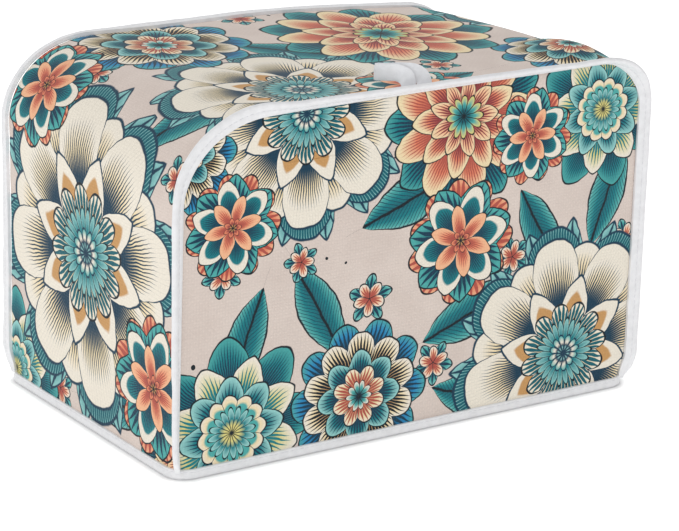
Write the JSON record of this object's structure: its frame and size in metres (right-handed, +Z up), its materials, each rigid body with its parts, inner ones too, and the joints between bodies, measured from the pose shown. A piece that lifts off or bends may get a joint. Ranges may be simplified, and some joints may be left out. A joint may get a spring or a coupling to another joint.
{
  "type": "toaster cover",
  "caption": "Soft printed cloth cover for a two-slice toaster: arched panels and a gusset, bound in white tape, open below, with a pull loop on top.",
  "frame": {"origin": "middle of the cover's outer box on the surface that the hem stands on", "axes": "+X towards the right-hand end seen from the front, -Y towards the front panel, +Z up"},
  "size_m": [0.2961, 0.1841, 0.1972],
  "materials": {
    "gusset_cloth": "printed plain-weave polyester, matt, floral print in teal, cream and coral",
    "front_cloth": "printed plain-weave polyester, matt, floral print on a pinkish beige ground",
    "back_cloth": "printed plain-weave polyester, matt, floral print on a pinkish beige ground",
    "front_tape": "white folded binding tape, fine rib, topstitched",
    "back_tape": "white folded binding tape, fine rib, topstitched",
    "hem_tape": "white folded binding tape, fine rib, topstitched",
    "loop_tape": "white woven tape, soft sheen"
  },
  "bodies": {
    "root": {"gusset": "gusset_cloth", "front_panel": "front_cloth", "back_panel": "back_cloth", "front_binding": "front_tape", "back_binding": "back_tape", "hem_binding": "hem_tape", "pull_loop": "loop_tape"}
  },
  "joints": []
}
